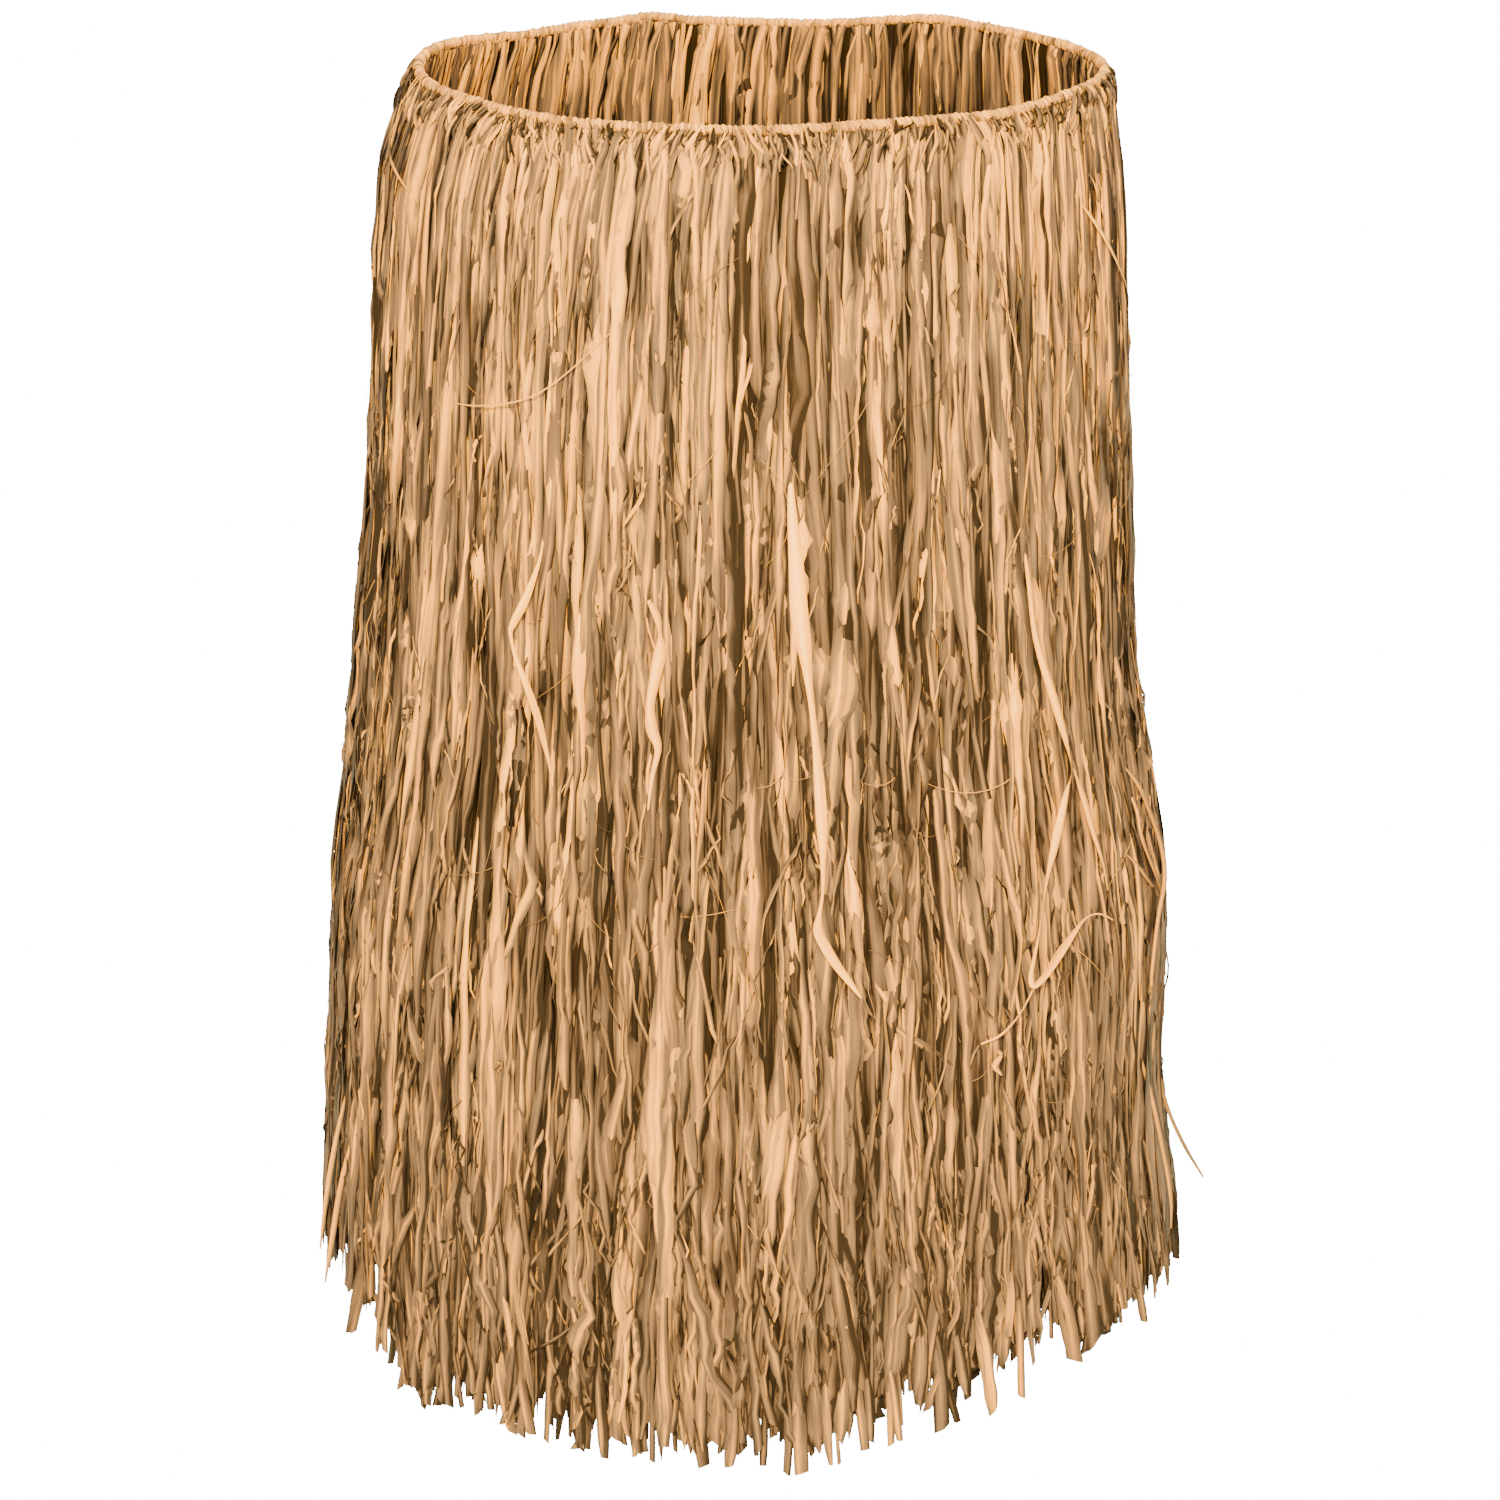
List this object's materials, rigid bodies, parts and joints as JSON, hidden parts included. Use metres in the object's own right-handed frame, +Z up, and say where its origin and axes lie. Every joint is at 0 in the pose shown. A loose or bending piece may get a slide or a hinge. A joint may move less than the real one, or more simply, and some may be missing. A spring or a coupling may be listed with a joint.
{
  "type": "grass skirt",
  "caption": "Raffia grass skirt, filled out as worn: a round waist cord with a gathered curtain and an outer fringe of long straw-coloured locks, open at the waist and at the ragged hem.",
  "frame": {"origin": "centre of the waist cord's ring, where the wearer holds the skirt up", "axes": "+Z up, along the hang of the skirt; the front faces -Y; the wearer's left is +X"},
  "size_m": [0.5525, 0.4387, 0.8006],
  "materials": {
    "cord_raffia": "pale braided raffia, dull with a slight straw sheen",
    "curtain_raffia": "dry raffia strips in shade, matt",
    "fringe_raffia": "dry raffia strips, fibrous, with a slight straw sheen"
  },
  "bodies": {
    "root": {"waist_cord": "cord_raffia", "curtain_front": "curtain_raffia", "curtain_left": "curtain_raffia", "curtain_back": "curtain_raffia", "curtain_right": "curtain_raffia", "fringe_front": "fringe_raffia", "fringe_left": "fringe_raffia", "fringe_back": "fringe_raffia", "fringe_right": "fringe_raffia"}
  },
  "joints": []
}
